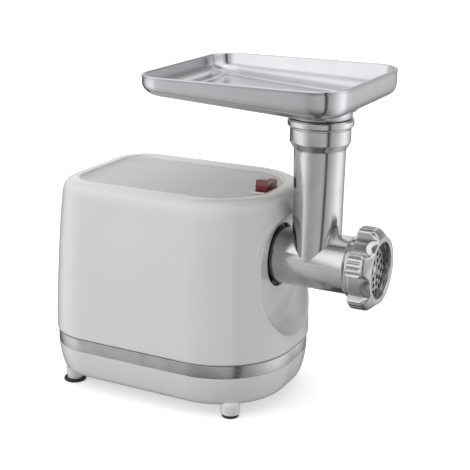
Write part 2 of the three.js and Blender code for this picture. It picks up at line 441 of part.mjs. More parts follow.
// -------------------------------------------------------------- mincing head
/** Closed solid through level ovals: rows are [z, half-width in X, half-width in Y]. */
function ovalZ(rows, cx, cy, seg) {
  const pos = [], idx = [], n = rows.length;
  for (const [z, a, b] of rows) for (let i = 0; i < seg; i++) {
    const t = 2 * Math.PI * i / seg;
    pos.push(cx + a * Math.cos(t), cy + b * Math.sin(t), z);
  }
  pos.push(cx, cy, rows[0][0], cx, cy, rows[n - 1][0]);
  for (let k = 0; k < n - 1; k++) for (let i = 0; i < seg; i++) {
    const j = (i + 1) % seg, a = k * seg, b = a + seg;
    idx.push(a + i, a + j, b + j, a + i, b + j, b + i);
  }
  for (let i = 0; i < seg; i++) {
    const j = (i + 1) % seg, b = (n - 1) * seg;
    idx.push(n * seg, j, i, n * seg + 1, b + i, b + j);
  }
  const g = new THREE.BufferGeometry();
  g.setAttribute('position', new THREE.Float32BufferAttribute(pos, 3));
  g.setIndex(idx);
  return solid(g);
}
{
  const barrel = turnX([[86, 0], [86, R_BARREL], [167, R_BARREL], [170.6, 28.9], [187, 28.9], [187, 0]], 0, ZB, 48);
  const neck = turnZ([[ZB, 0], [ZB, 21.4], [200, 22.2], [243, 22.9], [246, 24.2], [250.5, 26.7], [262.4, 26.7], [262.9, 26.0],
    [263.6, 26.0], [264.2, 28.4], [266, 29.0], [269.6, 29.0], [271, 28.2], [271, 0]], XN, 0, 40);
  // the foot of the neck is deeper across the barrel, so its sides run into the barrel's sides
  const foot = [[ZB, 21.4, 25.4], [150, 21.5, 25.2], [160, 21.6, 24.7], [175, 21.8, 23.9], [200, 22.2, 23.1], [225, 22.5, 22.8]];
  let tube = barrel.add(neck).add(ovalZ(foot, XN, 0, 40));
  for (const s of [0, 180]) tube = tube.add(prismX(sector(0, ZB, 24, 28.4, -12 + s, 12 + s, 4), 87.4, 90.4));
  tube = sub(tube,
    turnX([[80, 0], [80, 22], [99, 22], [99, 0]], 0, ZB, 32),
    rodX(9.3, 90, 110, 0, ZB, 24),
    turnX([[103, 0], [103, R_BORE], [176.5, R_BORE], [176.5, 0]], 0, ZB, 40),
    turnX([[176.2, 0], [176.2, R_PLATE + 0.3], [190, R_PLATE + 0.3], [190, 0]], 0, ZB, 40),
    turnZ([[ZB, 0], [ZB, 18.6], [247.5, 18.6], [251.5, 24.0], [275, 24.0], [275, 0]], XN, 0, 32));
  put('mincer_tube', tube, 'cast');
  put('screw_bush', turnX([[98.2, 7.5], [98.2, 9.0], [103.3, 9.0], [103.3, 12.5], [104.6, 12.5], [104.6, 7.5], [98.2, 7.5]], 0, ZB, 24), 'nylon');
}
{
  // feed screw: cam section twisted along the barrel
  const n = 12, section = [];
  for (let i = 0; i < n; i++) {
    const a = i * 360 / n, d = Math.min(a, 360 - a);
    const t = d < 27 ? 1 : d < 90 ? 0.5 + 0.5 * Math.cos((d - 27) / 63 * Math.PI) : 0;
    const r = 8.5 + 13.1 * t;
    section.push(V2(r * Math.cos(a * DEG), r * Math.sin(a * DEG)));
  }
  const L = 71, turns = 2.8, steps = 28;
  const g = new THREE.ExtrudeGeometry(new THREE.Shape(section), { depth: L, steps, bevelEnabled: false });
  const p = g.attributes.position;
  for (let i = 0; i < p.count; i++) {
    const z = p.getZ(i), a = -2 * Math.PI * turns * z / L, x = p.getX(i), y = p.getY(i);
    p.setXY(i, x * Math.cos(a) - y * Math.sin(a), x * Math.sin(a) + y * Math.cos(a));
  }
  g.applyMatrix4(YZX);
  g.translate(105, 0, ZB);
  const screw = add(solid(g), turnX([[98.6, 0], [98.6, 7], [106, 7], [106, 0]], 0, ZB, 20),
    box(89, 99, -5.1, 5.1, ZB - 5.1, ZB + 5.1), box(175, 184, -4.6, 4.6, ZB - 4.6, ZB + 4.6),
    turnX([[183, 0], [183, 4], [189, 4], [189.6, 3.4], [189.6, 0]], 0, ZB, 16));
  put('feed_screw', screw, 'cast');
  // four-bladed knife
  let knife = turnX([[177.2, 0], [177.2, 9], [183.6, 9], [183.6, 0]], 0, ZB, 20);
  for (let i = 0; i < 4; i++) {
    const a = i * 90 + 20;
    knife = knife.add(prismX([[6, -3.4], [23, -1.0], [24, 2.0], [22, 3.4], [6, 4.2]].map(([u, v]) =>
      [u * Math.cos(a * DEG) - v * Math.sin(a * DEG), ZB + u * Math.sin(a * DEG) + v * Math.cos(a * DEG)]), 180, 184.2));
  }
  put('cross_knife', knife.subtract(box(170, 190, -4.9, 4.9, ZB - 4.9, ZB + 4.9)), 'steel');
  // perforated cutting plate
  let plate = rodX(R_PLATE, 184.6, 189.5, 0, ZB, 40).subtract(rodX(4.4, 180, 195, 0, ZB, 16));
  for (const [r, k, o] of [[10.4, 6, 0], [19.4, 11, 0]]) {
    for (let i = 0; i < k; i++) {
      const a = 2 * Math.PI * (i + o) / k;
      plate = plate.subtract(prismX([0, 1, 2, 3, 4, 5].map((q) => [r * Math.cos(a) + 3.4 * Math.cos(q * 60 * DEG),
        ZB + r * Math.sin(a) + 3.4 * Math.sin(q * 60 * DEG)]), 180, 195));
    }
  }
  put('cutting_plate', plate, 'steel');
}
{
  // ring nut: ring, five lobes, scooped between the lobes at the front
  let nut = turnX([[174.3, 0], [174.3, 30.4], [175.3, 31.4], [188, 31.4], [193.5, 30.6], [195.5, 28.8], [195.5, 0]], 0, ZB, 50);
  for (let i = 0; i < 5; i++) {
    const a = 1.5 + i * 72;
    const prof = [[30.6, -19.6], [35.6, -17.8], [37.4, -15.2], [37.9, 0], [37.4, 15.2], [35.6, 17.8], [30.6, 19.6]]
      .map(([r, d]) => { const t = (90 - (a + d)) * DEG; return [r * Math.cos(t), ZB + r * Math.sin(t)]; });
    nut = nut.add(prismX(prof, 174.6, 195.2).intersect(turnX([[174.6, 0], [174.6, 36.5], [175.6, 38.2], [186, 38.2], [191, 37], [194, 34.2], [195.2, 30], [195.2, 0]], 0, ZB, 50)));
    const s = new THREE.SphereGeometry(1, 16, 10);
    s.scale(13, 21.5, 9.6);
    s.translate(0, 0, 38.9);
    s.rotateX(-(a + 36) * DEG);
    s.translate(195.5, 0, ZB);
    nut = nut.subtract(solid(s));
  }
  nut = sub(nut, turnX([[170, 0], [170, 29.3], [189.8, 29.3], [189.8, 25.4], [191, 24.6], [194, 24.6], [196.5, 26.2], [196.5, 0]], 0, ZB, 48));
  put('ring_nut', nut, 'cast');
}

// ---------------------------------------------------------------------- tray
{
  const tp = roundRect(-9, 180, 84, 27, 25, 5, 5);
  const ZR = 308.5;
  const depth = (x) => 17.5 + (x + 9) / 189 * 13;
  const height = (off) => (x, y, t) => ZR - t * (depth(x) - off) + (t < 0 ? 0 : 0);
  // the walls lean in more towards the deep front end
  const lean = (o, i) => Math.min(i * (1 + 0.75 * Math.min(1, Math.max(0, (i - 1) / 4)) * (o.x + 9) / 189), Math.max(i, 22));
  const out = stack(tp, [[1, 17], [0.965, 11.5], [0.88, 7.0], [0.76, 3.7], [0.6, 1.5], [0.42, 0.4], [0, 0]], height(0), lean);
  const inn = stack(tp, [[1, 19], [0.955, 13.2], [0.86, 8.8], [0.74, 5.6], [0.58, 3.4], [0.41, 2.3], [0, 2.0], [-0.1, 2.0]], height(1.6), lean);
  let tray = out.subtract(inn);
  tray = tray.add(turnZ([[253, 0], [253, 23.4], [271.4, 23.4], [271.4, 27.2], [283, 27.8], [283, 0]], XN, 0, 32)
    .subtract(inn));
  tray = tray.subtract(rodZ(20.4, 240, 320, XN, 0, 32));
  put('tray', tray, 'polish');
}

export default root;
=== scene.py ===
import bpy, bmesh, json, math
from mathutils import Vector, Matrix


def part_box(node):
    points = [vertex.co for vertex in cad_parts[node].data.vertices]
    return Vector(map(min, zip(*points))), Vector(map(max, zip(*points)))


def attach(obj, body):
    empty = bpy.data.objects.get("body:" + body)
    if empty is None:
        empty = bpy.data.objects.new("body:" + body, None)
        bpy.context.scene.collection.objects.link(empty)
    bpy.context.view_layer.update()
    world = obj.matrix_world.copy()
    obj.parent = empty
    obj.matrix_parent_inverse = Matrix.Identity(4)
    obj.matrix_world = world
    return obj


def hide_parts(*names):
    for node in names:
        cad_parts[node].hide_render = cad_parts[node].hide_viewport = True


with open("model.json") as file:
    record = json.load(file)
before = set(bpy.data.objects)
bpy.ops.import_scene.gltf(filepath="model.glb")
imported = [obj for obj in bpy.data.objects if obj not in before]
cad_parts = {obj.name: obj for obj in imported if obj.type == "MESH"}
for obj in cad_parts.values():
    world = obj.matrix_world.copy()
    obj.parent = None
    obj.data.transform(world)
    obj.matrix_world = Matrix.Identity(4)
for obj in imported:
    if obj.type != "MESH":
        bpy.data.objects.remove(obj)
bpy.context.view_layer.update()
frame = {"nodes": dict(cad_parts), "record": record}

lo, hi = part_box("trim_band")
SHIFT = (lo.x + hi.x) / 2 * 1000          # housing centre, mm
ZB = 140.5                                 # barrel axis
XN = 133.2                                 # neck axis
DEG = math.pi / 180


# ------------------------------------------------------------------ mesh tools
def V(p):
    return ((p[0] + SHIFT) / 1000, p[1] / 1000, p[2] / 1000)


def smooth_edges(me, angle=35):
    me.shade_smooth()
    me.set_sharp_from_angle(angle=angle * DEG)


def obj_from(name, verts, faces, angle=35, recalc=True):
    me = bpy.data.meshes.new(name)
    me.from_pydata([V(v) for v in verts], [], faces)
    bm = bmesh.new(); bm.from_mesh(me)
    bmesh.ops.remove_doubles(bm, verts=bm.verts, dist=2e-6)
    bmesh.ops.dissolve_degenerate(bm, dist=1e-7, edges=bm.edges)
    if recalc:
        bmesh.ops.recalc_face_normals(bm, faces=bm.faces)
    bm.to_mesh(me); bm.free()
    smooth_edges(me, angle)
    o = bpy.data.objects.new(name, me)
    bpy.context.scene.collection.objects.link(o)
    return o


def rings(name, rr, close_u=True, cap=(False, False), loop=False, angle=35):
    """Faces between successive rings of points; cap closes an end with one face, loop joins last to first."""
    verts, faces = [], []
    n = len(rr[0])
    for r in rr:
        verts += r
    m = len(rr)
    last = m if loop else m - 1
    for k in range(last):
        a, b = k * n, ((k + 1) % m) * n
        for i in range(n if close_u else n - 1):
            j = (i + 1) % n
            faces.append((a + i, a + j, b + j, b + i))
    if cap[0]:
        faces.append(tuple(range(n))[::-1])
    if cap[1]:
        faces.append(tuple((m - 1) * n + i for i in range(n)))
    return obj_from(name, verts, faces, angle)


def turn(name, profile, axis, centre, seg=96, loop=False, angle=35):
    """Turned piece. profile is [(along, radius)]; ends on the axis are closed to a point."""
    rr = []
    for t, r in profile:
        ring = []
        for i in range(seg):
            a = 2 * math.pi * i / seg
            if axis == "x":
                ring.append((t, centre[0] + r * math.cos(a), centre[1] + r * math.sin(a)))
            else:
                ring.append((centre[0] + r * math.cos(a), centre[1] + r * math.sin(a), t))
        rr.append(ring)
    return rings(name, rr, loop=loop, angle=angle)


def fillet(profile, radii, n=5, closed=False):
    """Rounds the corners of a 2D polyline. radii is one radius or one per corner."""
    out = []
    m = len(profile)
    for i, p in enumerate(profile):
        r = radii[i] if isinstance(radii, (list, tuple)) else radii
        if (not closed and i in (0, m - 1)) or r <= 0:
            out.append(p); continue
        a = Vector(profile[i - 1]) - Vector(p); b = Vector(profile[(i + 1) % m]) - Vector(p)
        la, lb = a.length, b.length
        a.normalize(); b.normalize()
        ang = a.angle(b)
        if ang > math.pi - 0.02:
            out.append(p); continue
        d = min(r / math.tan(ang / 2), la * 0.49, lb * 0.49)
        r2 = d * math.tan(ang / 2)
        c = Vector(p) + (a + b).normalized() * (r2 / math.sin(ang / 2))
        s = Vector(p) + a * d - c; e = Vector(p) + b * d - c
        t0 = math.atan2(s.y, s.x); t1 = math.atan2(e.y, e.x)
        dt = (t1 - t0 + math.pi) % (2 * math.pi) - math.pi
        for k in range(n + 1):
            t = t0 + dt * k / n
            out.append((c.x + r2 * math.cos(t), c.y + r2 * math.sin(t)))
    return out


def boolean(a, b, op="DIFFERENCE"):
    m = a.modifiers.new("b", "BOOLEAN"); m.object = b; m.operation = op; m.solver = "EXACT"
    dg = bpy.context.evaluated_depsgraph_get()
    me = bpy.data.meshes.new_from_object(a.evaluated_get(dg))
    a.modifiers.clear()
    old = a.data; a.data = me; bpy.data.meshes.remove(old)
    bpy.data.objects.remove(b)
    return a


def join(name, objs, angle=35):
    bm = bmesh.new()
    for o in objs:
        bm.from_mesh(o.data)
    me = bpy.data.meshes.new(name); bm.to_mesh(me); bm.free()
    for o in objs:
        bpy.data.objects.remove(o)
    smooth_edges(me, angle)
    o = bpy.data.objects.new(name, me); bpy.context.scene.collection.objects.link(o)
    return o


def boxy(name, x0, x1, y0, y1, z0, z1, bevel=0.0, seg=3):
    bm = bmesh.new()
    bmesh.ops.create_cube(bm, size=1)
    for v in bm.verts:
        v.co = Vector(V((x0 + (v.co.x + .5) * (x1 - x0), y0 + (v.co.y + .5) * (y1 - y0), z0 + (v.co.z + .5) * (z1 - z0))))
    if bevel:
        bmesh.ops.bevel(bm, geom=bm.edges[:], offset=bevel / 1000, segments=seg, affect="EDGES", profile=0.5)
    me = bpy.data.meshes.new(name); bm.to_mesh(me); bm.free(); smooth_edges(me, 40)
    o = bpy.data.objects.new(name, me); bpy.context.scene.collection.objects.link(o)
    return o


def catmull(pts, per=8):
    out = []
    for i in range(len(pts) - 1):
        p0 = pts[max(i - 1, 0)]; p1 = pts[i]; p2 = pts[i + 1]; p3 = pts[min(i + 2, len(pts) - 1)]
        for k in range(per):
            t = k / per
            out.append(tuple(0.5 * ((2 * b) + (-a + c) * t + (2 * a - 5 * b + 4 * c - d) * t * t + (-a + 3 * b - 3 * c + d) * t ** 3)
                             for a, b, c, d in zip(p0, p1, p2, p3)))
    out.append(tuple(pts[-1]))
    return out


def resample(pts, steps):
    """Points along a polyline; steps(p) gives the wanted spacing at p."""
    out = [pts[0]]; acc = 0.0
    for a, b in zip(pts, pts[1:]):
        d = math.dist(a, b); pos = 0.0
        while d - pos > 1e-9:
            need = steps(out[-1]) - acc
            if d - pos >= need:
                pos += need; t = pos / d
                out.append(tuple(u + (v - u) * t for u, v in zip(a, b))); acc = 0.0
            else:
                acc += d - pos; pos = d
    if math.dist(out[-1], pts[-1]) > 1e-6:
        out.append(tuple(pts[-1]))
    return out


def interp(x, pts):
    if x <= pts[0][0]:
        return pts[0][1]
    for (a, fa), (b, fb) in zip(pts, pts[1:]):
        if x <= b:
            t = (x - a) / (b - a); t = t * t * (3 - 2 * t) if False else t
            return fa + (fb - fa) * t
    return pts[-1][1]


def smin(a, b, k):
    h = max(k - abs(a - b), 0.0) / k
    return min(a, b) - h * h * k * 0.25


# ------------------------------------------------------------------- materials
def nodes_of(m):
    m.use_nodes = True
    nt = m.node_tree; nt.nodes.clear()
    out = nt.nodes.new("ShaderNodeOutputMaterial"); b = nt.nodes.new("ShaderNodeBsdfPrincipled")
    nt.links.new(b.outputs[0], out.inputs[0])
    return nt, b


def noise(nt, scale, detail=4, rough=0.55, stretch=(1, 1, 1), rot=(0, 0, 0)):
    tc = nt.nodes.new("ShaderNodeTexCoord"); mp = nt.nodes.new("ShaderNodeMapping")
    mp.inputs["Scale"].default_value = stretch
    mp.inputs["Rotation"].default_value = rot
    n = nt.nodes.new("ShaderNodeTexNoise")
    n.inputs["Scale"].default_value = scale; n.inputs["Detail"].default_value = detail; n.inputs["Roughness"].default_value = rough
    nt.links.new(tc.outputs["Object"], mp.inputs[0]); nt.links.new(mp.outputs[0], n.inputs["Vector"])
    return n.outputs["Fac"]


def ramp(nt, src, lo, hi, p0=0.3, p1=0.7):
    r = nt.nodes.new("ShaderNodeMapRange")
    r.inputs[1].default_value = p0; r.inputs[2].default_value = p1
    r.inputs[3].default_value = lo; r.inputs[4].default_value = hi
    nt.links.new(src, r.inputs[0])
    return r.outputs[0]


def mixcol(nt, fac, a, b):
    m = nt.nodes.new("ShaderNodeMix"); m.data_type = "RGBA"
    m.inputs[6].default_value = (*a, 1); m.inputs[7].default_value = (*b, 1)
    nt.links.new(fac, m.inputs[0])
    return m.outputs[2]


def bump(nt, b, layers):
    """layers: [(height socket, strength, distance in m)]"""
    prev = None
    for h, s, d in layers:
        n = nt.nodes.new("ShaderNodeBump")
        n.inputs["Strength"].default_value = s; n.inputs["Distance"].default_value = d
        nt.links.new(h, n.inputs["Height"])
        if prev:
            nt.links.new(prev, n.inputs["Normal"])
        prev = n.outputs[0]
    nt.links.new(prev, b.inputs["Normal"])


def material(name, col, col2, rough, metal=0.0, scale=40, rscale=25, bumps=((900, 0.1, 0.00005),), stretch=(1, 1, 1), coat=0.0, spec=None, colscale=None, ior=None):
    m = bpy.data.materials.new(name)
    nt, b = nodes_of(m)
    nt.links.new(mixcol(nt, ramp(nt, noise(nt, colscale or scale, 5), 0, 1, 0.35, 0.65), col, col2), b.inputs["Base Color"])
    nt.links.new(ramp(nt, noise(nt, rscale, 6, 0.6, stretch), rough[0], rough[1]), b.inputs["Roughness"])
    b.inputs["Metallic"].default_value = metal
    if coat:
        b.inputs["Coat Weight"].default_value = coat; b.inputs["Coat Roughness"].default_value = 0.06
    if spec is not None:
        b.inputs["Specular IOR Level"].default_value = spec
    if ior:
        b.inputs["IOR"].default_value = ior
    bump(nt, b, [(noise(nt, s, 3, 0.5, stretch), st, d) for s, st, d in bumps])
    return m


def turned(name, col, col2, rough, axis, centre, ring=900, strength=0.12, around=3.0):
    """Metal finished on a lathe: fine rings along the axis, broken up round it."""
    m = bpy.data.materials.new(name)
    nt, b = nodes_of(m)
    tc = nt.nodes.new("ShaderNodeTexCoord"); sep = nt.nodes.new("ShaderNodeSeparateXYZ")
    nt.links.new(tc.outputs["Object"], sep.inputs[0])
    comb = nt.nodes.new("ShaderNodeCombineXYZ")
    nt.links.new(sep.outputs["XYZ".index(axis.upper())], comb.inputs[0])
    n = nt.nodes.new("ShaderNodeTexNoise"); n.inputs["Scale"].default_value = ring; n.inputs["Detail"].default_value = 3
    nt.links.new(comb.outputs[0], n.inputs["Vector"])
    nt.links.new(mixcol(nt, ramp(nt, noise(nt, 30, 5), 0, 1, 0.35, 0.65), col, col2), b.inputs["Base Color"])
    r1 = ramp(nt, n.outputs["Fac"], rough[0], rough[1])
    add = nt.nodes.new("ShaderNodeMath"); add.operation = "ADD"
    nt.links.new(r1, add.inputs[0]); nt.links.new(ramp(nt, noise(nt, 18, 5), -0.03, 0.04), add.inputs[1])
    nt.links.new(add.outputs[0], b.inputs["Roughness"])
    b.inputs["Metallic"].default_value = 1.0
    bump(nt, b, [(n.outputs["Fac"], strength, 0.00003), (noise(nt, 60, 3), 0.05, 0.0004)])
    return m


WHITE = material("housing_white", (0.715, 0.715, 0.695), (0.735, 0.735, 0.715), (0.16, 0.24), 0, 12, 30, ((700, 0.03, 0.00004), (26, 0.05, 0.0008)), coat=0.35)
# darker grey copy of the housing white for the top recess floor: painted shade for the weaker light falling on the top
PANEL_PAINTED_SHADE = material("housing_panel_painted_shade", (0.565, 0.565, 0.55), (0.59, 0.59, 0.575), (0.34, 0.42), 0, 12, 60, ((900, 0.05, 0.00004), (40, 0.04, 0.0006)))
STEEL = material("band_steel", (0.46, 0.46, 0.455), (0.54, 0.54, 0.53), (0.17, 0.27), 1, 60, 9, ((9, 0.22, 0.00006),), stretch=(0.6, 0.6, 90))
RUBBER = material("rubber_black", (0.012, 0.012, 0.012), (0.022, 0.022, 0.021), (0.62, 0.85), 0, 90, 120, ((1600, 0.25, 0.00006),))
CAST = material("cast_alloy", (0.59, 0.595, 0.60), (0.65, 0.65, 0.655), (0.15, 0.22), 1, 45, 40, ((1400, 0.05, 0.00004), (45, 0.03, 0.0004)))
NUT = material("cast_nut", (0.54, 0.545, 0.55), (0.62, 0.62, 0.625), (0.17, 0.26), 1, 60, 70, ((1500, 0.10, 0.00005), (60, 0.05, 0.0004)))
POLISH = material("polished_sheet", (0.61, 0.625, 0.645), (0.66, 0.67, 0.685), (0.15, 0.22), 1, 16, 20, ((22, 0.06, 0.0008), (1400, 0.03, 0.00003)))
TOOL = material("tool_steel", (0.42, 0.42, 0.43), (0.52, 0.52, 0.52), (0.22, 0.4), 1, 60, 90, ((1200, 0.2, 0.00005),))
DARKPL = material("dark_plastic", (0.022, 0.023, 0.026), (0.034, 0.035, 0.038), (0.4, 0.55), 0, 60, 90, ((1500, 0.3, 0.00007),))
BEZEL = material("bezel_pale", (0.72, 0.63, 0.615), (0.77, 0.69, 0.67), (0.2, 0.3), 0, 60, 60, ((900, 0.05, 0.00004),))
COPPER = material("copper_wire", (0.45, 0.15, 0.06), (0.62, 0.26, 0.12), (0.25, 0.45), 0.9, 200, 300, ((900, 0.6, 0.0002),), stretch=(0.3, 1, 1))
LAM = material("laminations", (0.10, 0.105, 0.115), (0.17, 0.175, 0.19), (0.35, 0.6), 0.8, 100, 60, ((1800, 0.5, 0.0001),), stretch=(1, 0.05, 0.05))
NYLON = material("nylon_natural", (0.66, 0.62, 0.50), (0.72, 0.69, 0.57), (0.4, 0.55), 0, 60, 90, ((1100, 0.2, 0.00006),))
ZINC = material("diecast_zinc", (0.34, 0.345, 0.36), (0.44, 0.445, 0.45), (0.38, 0.55), 1, 50, 60, ((900, 0.4, 0.0001),))
BRASS = material("brass", (0.50, 0.34, 0.12), (0.58, 0.42, 0.18), (0.25, 0.4), 1, 50, 60, ((900, 0.2, 0.00006),))
CARBON = material("carbon", (0.02, 0.02, 0.021), (0.04, 0.04, 0.042), (0.5, 0.7), 0, 60, 90, ((1500, 0.4, 0.00008),))
PLATED = material("plated_steel", (0.42, 0.42, 0.40), (0.52, 0.51, 0.47), (0.28, 0.42), 1, 60, 90, ((1100, 0.2, 0.00005),))

RED = bpy.data.materials.new("switch_red")
nt, b = nodes_of(RED)
nt.links.new(mixcol(nt, ramp(nt, noise(nt, 60, 4), 0, 1), (0.13, 0.004, 0.010), (0.20, 0.008, 0.016)), b.inputs["Base Color"])
nt.links.new(ramp(nt, noise(nt, 90, 4), 0.10, 0.20), b.inputs["Roughness"])
b.inputs["Coat Weight"].default_value = 0.5; b.inputs["Coat Roughness"].default_value = 0.05
bump(nt, b, [(noise(nt, 400, 3), 0.04, 0.00005)])

BY_SLOT = {"housing_plastic": WHITE, "trim_steel": STEEL, "rubber": RUBBER, "plated_steel": PLATED, "bezel_plastic": BEZEL,
           "dark_plastic": DARKPL, "switch_red": RED, "gear_case_metal": ZINC, "bronze": BRASS, "lamination": LAM, "copper": COPPER,
           "tool_steel": TOOL, "nylon": NYLON, "carbon": CARBON, "cast_aluminium": CAST, "polished_aluminium": POLISH}
SLOT_OF = {s["node"]: s["material_slot"] for s in frame["record"]["subparts"]}
for n, o in frame["nodes"].items():
    o.data.materials.clear(); o.data.materials.append(BY_SLOT[SLOT_OF[n]])


def piece(o, mat, body, slot, *nodes):
    o.data.materials.clear(); o.data.materials.append(mat)
    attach(o, body)
    if nodes:
        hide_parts(*nodes)
    return o


# --------------------------------------------------------------------- housing
HX0, HX1, HY, RF, RB = -115.0, 115.0, 84.4, 72.0, 47.0


def plan(dense=False, extra=()):
    """Points (x, y, nx, ny) round the housing, from the front centre towards +Y."""
    half = []
    fa = 0.85 if dense else 4.0
    ys = [i * (HY - RF) / max(2, round((HY - RF) / (0.95 if dense else 4))) for i in range(max(2, round((HY - RF) / (0.95 if dense else 4))))]
    half += [(HX1, y, 1, 0) for y in ys]
    a = 0.0
    while a < 90 - 1e-6:
        half.append((HX1 - RF + RF * math.cos(a * DEG), HY - RF + RF * math.sin(a * DEG), math.cos(a * DEG), math.sin(a * DEG)))
        a += fa if a < 52 else 3.0
        if a > 88.5:
            break
    n = 14
    half += [(HX1 - RF - (HX1 - RF - HX0 - RB) * i / n, HY, 0, 1) for i in range(n)]
    for i in range(0, 30):
        t = (90 + 3 * i) * DEG
        half.append((HX0 + RB + RB * math.cos(t), HY - RB + RB * math.sin(t), math.cos(t), math.sin(t)))
    half += [(HX0, y, -1, 0) for y in (37.4, 34.5, 33, 32, 31, 28.5, 26, 23.5, 21, 20, 19, 16, 12, 8, 4)]
    full = half + [(HX0, 0, -1, 0)] + [(x, -y, nx, -ny) for x, y, nx, ny in half[::-1][:-1]]
    return full


PLAN_D = plan(True)
PLAN_C = plan(False)


def off(p, inset):
    return p[0] - p[2] * inset, p[1] - p[3] * inset


DISH = [(0.0, 98.5), (0.795, 98.5), (0.835, 98.75), (0.87, 99.4), (0.90, 100.3), (0.93, 101.5), (0.96, 103.2), (0.985, 105.4), (1.005, 108.3), (1.02, 112.0), (1.035, 117), (1.06, 130), (1.3, 300)]


def dish_x(y, z):
    n = 2.8 if z > 125 else 2.2
    q = (abs(y / 51.4) ** n + abs((z - 125) / 55.0) ** n) ** (1 / n)
    return interp(q, DISH), q


def make_housing():
    ctrl = [(53.1, 2.6), (53.1, 0.9), (53.25, 0.35), (54.2, -0.75), (55.2, -1.25), (58, -1.3), (80, -0.8), (112, 1.0), (150, 3.6), (180, 6.5), (190, 7.75), (195.6, 9.3),
            (199.2, 12.0), (201.5, 15.6), (202.5, 19.8), (202.5, 22.4), (202.2, 23.4), (201.0, 24.2), (199.9, 24.9), (199.2, 25.9), (199.0, 27.4), (199.0, 29)]
    prof = catmull(ctrl, 10)
    prof = resample(prof, lambda p: 0.9 if 60 < p[0] < 182 else (0.45 if p[0] < 57 or p[1] > 22 else 1.2))
    # exact heights for the air slots in the rear wall
    levels = []
    want = sorted([92 + i * 7 for i in range(5)] + [95 + i * 7 for i in range(5)])
    for z, ins in prof:
        levels.append([z, max(ins, -1.3)])
    for w in want:
        k = min(range(len(levels)), key=lambda i: abs(levels[i][0] - w) if levels[i][1] < 8 else 1e9)
        levels[k][0] = w
    verts, n = [], len(PLAN_D)
    for z, ins in levels:
        for p in PLAN_D:
            x, y = off(p, ins)
            zz = z
            if x > 60 and z < 190:
                xd, q = dish_x(y, z)
                if q < 1.25:
                    # soft raised lip just outside the rim
                    x += 0.55 * math.exp(-((q - 1.045) / 0.018) ** 2)
                    x = smin(x, xd, 2.2)
            verts.append((x, y, zz))
    faces = []
    m = len(levels)
    for k in range(m - 1):
        zc = (levels[k][0] + levels[k + 1][0]) / 2
        for i in range(n):
            j = (i + 1) % n
            quad = (k * n + i, k * n + j, (k + 1) * n + j, (k + 1) * n + i)
            cx = sum(verts[q][0] for q in quad) / 4; cy = sum(verts[q][1] for q in quad) / 4
            if levels[k][1] < 9:
                if cx > 60 and math.hypot(cy, zc - ZB) < 29.6 - 0.15:
                    continue
                if cx > 60 and math.hypot(cy - 38, zc - 139) < 5.8 - 0.1:
                    continue
                if cx < -100 and abs(cy) < 26 and 92 <= zc <= 123 and (zc - 92) % 7 < 3:
                    continue
                if cx < -100 and math.hypot(cy - 26, zc - 68) < 5.6:
                    continue
            faces.append(quad)
    # flat floor of the top recess, drawn in to a short centre line
    base = (m - 1) * n
    prev = [base + i for i in range(n)]
    outer = [verts[i] for i in prev]
    steps = [0.12, 0.25, 0.4, 0.55, 0.7, 0.85, 1.0]
    for s in steps:
        cur = []
        for (x, y, z) in outer:
            cx = min(max(x, -52), 45)
            verts.append((x + (cx - x) * s, y * (1 - s), z)); cur.append(len(verts) - 1)
        for i in range(n):
            j = (i + 1) % n
            faces.append((prev[i], prev[j], cur[j], cur[i]))
        prev = cur
    o = obj_from("housing_body", verts, faces, 40, recalc=False)
    bm = bmesh.new(); bm.from_mesh(o.data)
    # true circles at the holes
    def snap(cy, cz, r, lo_, hi_):
        for e in [e for e in bm.edges if len(e.link_faces) == 1]:
            for v in e.verts:
                x, y, z = v.co.x * 1000 - SHIFT, v.co.y * 1000, v.co.z * 1000
                d = math.hypot(y - cy, z - cz)
                if lo_ < x < hi_ and abs(d - r) < 1.6:
                    v.co.y = (cy + (y - cy) / d * r) / 1000; v.co.z = (cz + (z - cz) / d * r) / 1000
    snap(0, ZB, 29.6, 90, 125)
    snap(38, 139, 5.8, 90, 125)
    # turn the open edges inwards so that the wall shows its thickness
    edges = [e for e in bm.edges if len(e.link_faces) == 1]
    front = [e for e in edges if all(v.co.x * 1000 - SHIFT > 90 and v.co.z > 0.07 for v in e.verts)]
    rear = [e for e in edges if all(v.co.x * 1000 - SHIFT < -100 and v.co.z > 0.058 for v in e.verts)]
    for es, dx in ((front, -2.5), (rear, 2.6)):
        r = bmesh.ops.extrude_edge_only(bm, edges=es)
        for v in [g for g in r["geom"] if isinstance(g, bmesh.types.BMVert)]:
            v.co.x += dx / 1000
    bmesh.ops.recalc_face_normals(bm, faces=bm.faces)
    # the skin faces out
    top = max(bm.faces, key=lambda f: f.calc_center_median().z)
    if top.normal.z < 0:
        bmesh.ops.reverse_faces(bm, faces=bm.faces)
    bm.to_mesh(o.data); bm.free(); smooth_edges(o.data, 50)
    piece(o, WHITE, "housing", "housing_plastic", "housing_shell")
    # the upward-facing recess floor faces take the darker copy: painted shade on the top
    o.data.materials.append(PANEL_PAINTED_SHADE)
    for f in o.data.polygons:
        z = f.center.z * 1000
        if 198.8 < z < 199.3 and abs(f.normal.z) > 0.8:
            f.material_index = 1
    return o


def make_band():
    prof = fillet([(53.0 - 0.2, 1.1), (52.8, 0.0), (40.9, 0.0), (40.9, 1.1)], 0.35, 3, closed=False)
    rr = [[(*off(p, ins), z) for p in PLAN_C] for z, ins in prof]
    o = rings("band", rr, angle=40)
    return piece(o, STEEL, "housing", "trim_steel", "trim_band")


